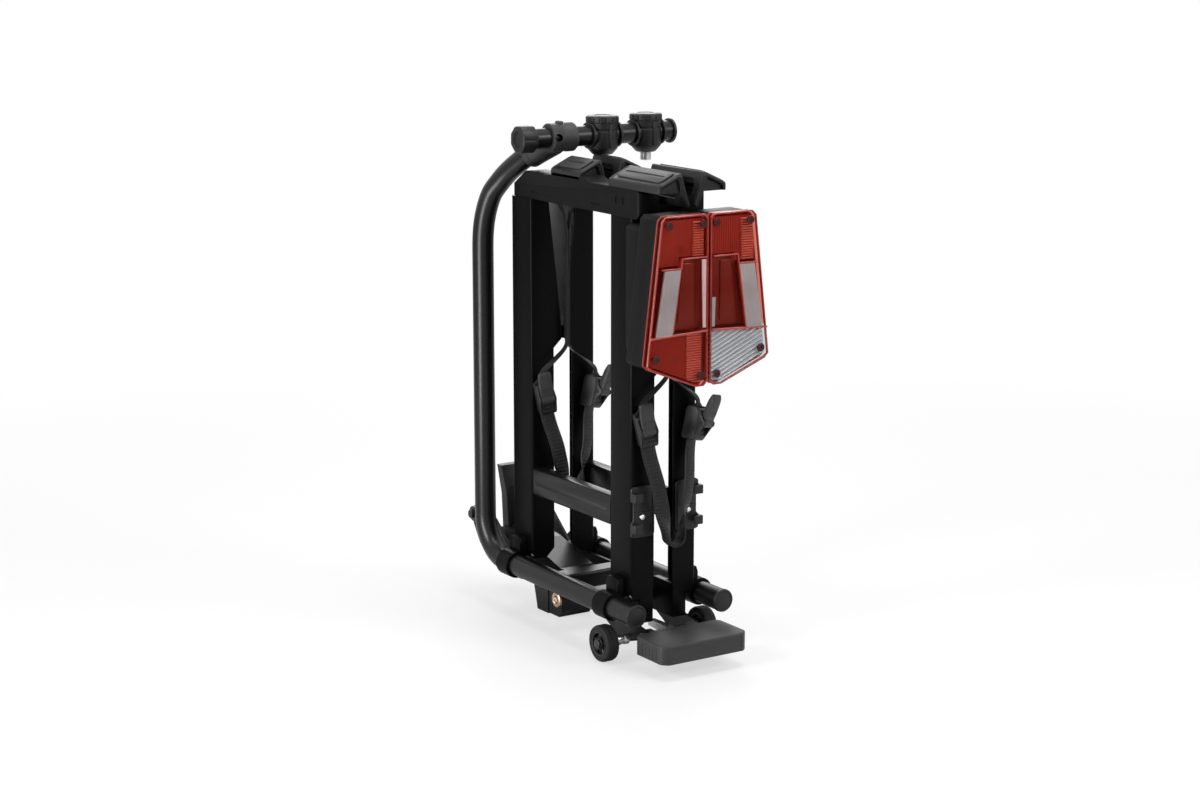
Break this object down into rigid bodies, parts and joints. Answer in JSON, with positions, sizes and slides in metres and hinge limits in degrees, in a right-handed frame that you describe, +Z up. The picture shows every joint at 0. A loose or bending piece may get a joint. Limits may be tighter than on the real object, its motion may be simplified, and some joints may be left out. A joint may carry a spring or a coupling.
{
  "type": "hitch bike rack",
  "caption": "Tow-ball platform bicycle carrier, folded upright, with hinged tray pairs, rear lamps, a bent mast with arm clamps, a ball coupling and transport wheels.",
  "frame": {"origin": "on the floor, under the middle of the folded rack's footprint; the plane between the two platforms is at X -0.033 and the base tubes' front ends at Y -0.1977", "axes": "+X across the car, to the right in the picture; +Y towards the car; +Z up as the folded rack stands"},
  "size_m": [0.256, 0.5206, 0.707],
  "materials": {
    "black_paint": "satin powder coat",
    "black_plastic": "fine grain",
    "grey_plastic": "fine grain",
    "zinc_steel": "bright zinc",
    "rubber": "matt",
    "strap_plastic": "toothed band",
    "red_lens": "clear red, glossy",
    "reflector": "metallised",
    "bulb_glass": "clear"
  },
  "bodies": {
    "frame": {"left_frame_tube": "black_paint", "right_frame_tube": "black_paint", "tube_end_caps": "black_plastic", "front_cross_member": "black_paint", "middle_cross_member": "black_paint", "wheel_and_pedal_brackets": "black_paint", "wheel_axle": "zinc_steel", "coupling_side_plates": "black_paint", "plate_studs": "zinc_steel", "tilt_pin": "zinc_steel", "tee_fitting": "grey_plastic", "top_bar": "black_paint"},
    "left_wheel": {"left_wheel_hub": "black_plastic", "left_wheel_tyre": "rubber"},
    "right_wheel": {"right_wheel_hub": "black_plastic", "right_wheel_tyre": "rubber"},
    "pedal": {"foot_pedal": "black_plastic", "pedal_shaft": "zinc_steel"},
    "coupling": {"coupling_body": "black_paint", "coupling_pins": "zinc_steel", "coupling_nuts": "zinc_steel"},
    "jaw": {"coupling_jaw": "zinc_steel"},
    "lever": {"coupling_lever": "black_plastic"},
    "bar_knob": {"bar_knob": "black_plastic"},
    "inner_clamp": {"inner_clamp_body": "black_plastic", "inner_arm_rod": "zinc_steel"},
    "outer_clamp": {"outer_clamp_body": "black_plastic", "outer_arm_rod": "zinc_steel"},
    "inner_knob": {"inner_clamp_knob": "black_plastic"},
    "outer_knob": {"outer_clamp_knob": "black_plastic"},
    "left_platform": {"left_near_tray": "black_paint", "left_far_tray": "black_paint", "left_end_beam": "black_paint", "left_wheel_scoops": "grey_plastic", "left_cross_rail": "black_plastic", "left_plate_clip": "black_plastic", "left_wheel_straps": "strap_plastic", "left_buckles": "black_plastic", "left_lamp_housing": "black_plastic", "left_lamp_lens": "red_lens", "left_lamp_reflector": "reflector", "left_lamp_bulbs": "bulb_glass", "left_lamp_screws": "zinc_steel"},
    "left_near_buckle": {"left_near_buckle_lever": "black_plastic"},
    "left_far_buckle": {"left_far_buckle_lever": "black_plastic"},
    "right_platform": {"right_near_tray": "black_paint", "right_far_tray": "black_paint", "right_end_beam": "black_paint", "right_wheel_scoops": "grey_plastic", "right_cross_rail": "black_plastic", "right_plate_clip": "black_plastic", "right_wheel_straps": "strap_plastic", "right_buckles": "black_plastic", "right_lamp_housing": "black_plastic", "right_lamp_lens": "red_lens", "right_lamp_reflector": "reflector", "right_lamp_bulbs": "bulb_glass", "right_lamp_screws": "zinc_steel"},
    "right_near_buckle": {"right_near_buckle_lever": "black_plastic"},
    "right_far_buckle": {"right_far_buckle_lever": "black_plastic"}
  },
  "joints": [
    {"name": "left_wheel_roll", "type": "hinge", "parent": "frame", "child": "left_wheel", "pos_m": [-0.113, -0.1357, 0.025], "axis": [1, 0, 0], "continuous": true},
    {"name": "right_wheel_roll", "type": "hinge", "parent": "frame", "child": "right_wheel", "pos_m": [0.047, -0.1357, 0.025], "axis": [1, 0, 0], "continuous": true},
    {"name": "pedal_press", "type": "hinge", "parent": "frame", "child": "pedal", "pos_m": [-0.033, -0.1737, 0.038], "axis": [1, 0, 0], "range_deg": [0, 12], "stiffness_Nm_per_rad": 2, "springref_deg": -14.32},
    {"name": "platform_tilt", "type": "hinge", "parent": "frame", "child": "coupling", "pos_m": [-0.033, 0.0483, 0.064], "axis": [-1, 0, 0], "range_deg": [0, 30]},
    {"name": "coupling_lever_pull", "type": "hinge", "parent": "coupling", "child": "lever", "pos_m": [-0.033, 0.2203, 0.084], "axis": [1, 0, 0], "range_deg": [0, 55]},
    {"name": "coupling_jaw_open", "type": "hinge", "parent": "coupling", "child": "jaw", "pos_m": [-0.033, 0.0703, 0.058], "axis": [-1, 0, 0], "range_deg": [0, 12]},
    {"name": "bar_knob_turn", "type": "hinge", "parent": "frame", "child": "bar_knob", "pos_m": [-0.111, 0.0643, 0.68], "axis": [1, 0, 0], "continuous": true},
    {"name": "left_platform_fold", "type": "hinge", "parent": "frame", "child": "left_platform", "pos_m": [-0.103, -0.0067, 0.075], "axis": [0, -1, 0], "range_deg": [0, 90]},
    {"name": "right_platform_fold", "type": "hinge", "parent": "frame", "child": "right_platform", "pos_m": [0.037, -0.0067, 0.075], "axis": [0, 1, 0], "range_deg": [0, 90]},
    {"name": "inner_arm_swing", "type": "hinge", "parent": "frame", "child": "inner_clamp", "pos_m": [0.014, 0.0643, 0.68], "axis": [1, 0, 0], "range_deg": [0, 90]},
    {"name": "inner_clamp_knob_turn", "type": "hinge", "parent": "inner_clamp", "child": "inner_knob", "pos_m": [0.014, 0.0643, 0.7], "axis": [0, 0, 1], "continuous": true},
    {"name": "outer_arm_swing", "type": "hinge", "parent": "frame", "child": "outer_clamp", "pos_m": [0.086, 0.0643, 0.68], "axis": [1, 0, 0], "range_deg": [0, 90]},
    {"name": "outer_clamp_knob_turn", "type": "hinge", "parent": "outer_clamp", "child": "outer_knob", "pos_m": [0.086, 0.0643, 0.7], "axis": [0, 0, 1], "continuous": true},
    {"name": "left_near_buckle_lift", "type": "hinge", "parent": "left_platform", "child": "left_near_buckle", "pos_m": [-0.07876, -0.19006, 0.31982], "axis": [0.9303, -0.309, 0.1977], "range_deg": [0, 75]},
    {"name": "left_far_buckle_lift", "type": "hinge", "parent": "left_platform", "child": "left_far_buckle", "pos_m": [-0.07876, 0.05994, 0.31982], "axis": [0.9303, -0.309, 0.1977], "range_deg": [0, 75]},
    {"name": "right_near_buckle_lift", "type": "hinge", "parent": "right_platform", "child": "right_near_buckle", "pos_m": [0.01276, -0.19006, 0.31982], "axis": [0.9303, 0.309, -0.1977], "range_deg": [0, 75]},
    {"name": "right_far_buckle_lift", "type": "hinge", "parent": "right_platform", "child": "right_far_buckle", "pos_m": [0.01276, 0.05994, 0.31982], "axis": [0.9303, 0.309, -0.1977], "range_deg": [0, 75]}
  ],
  "couplings": [
    {"joint": "coupling_jaw_open", "follows": "coupling_lever_pull", "ratio": 0.218}
  ]
}
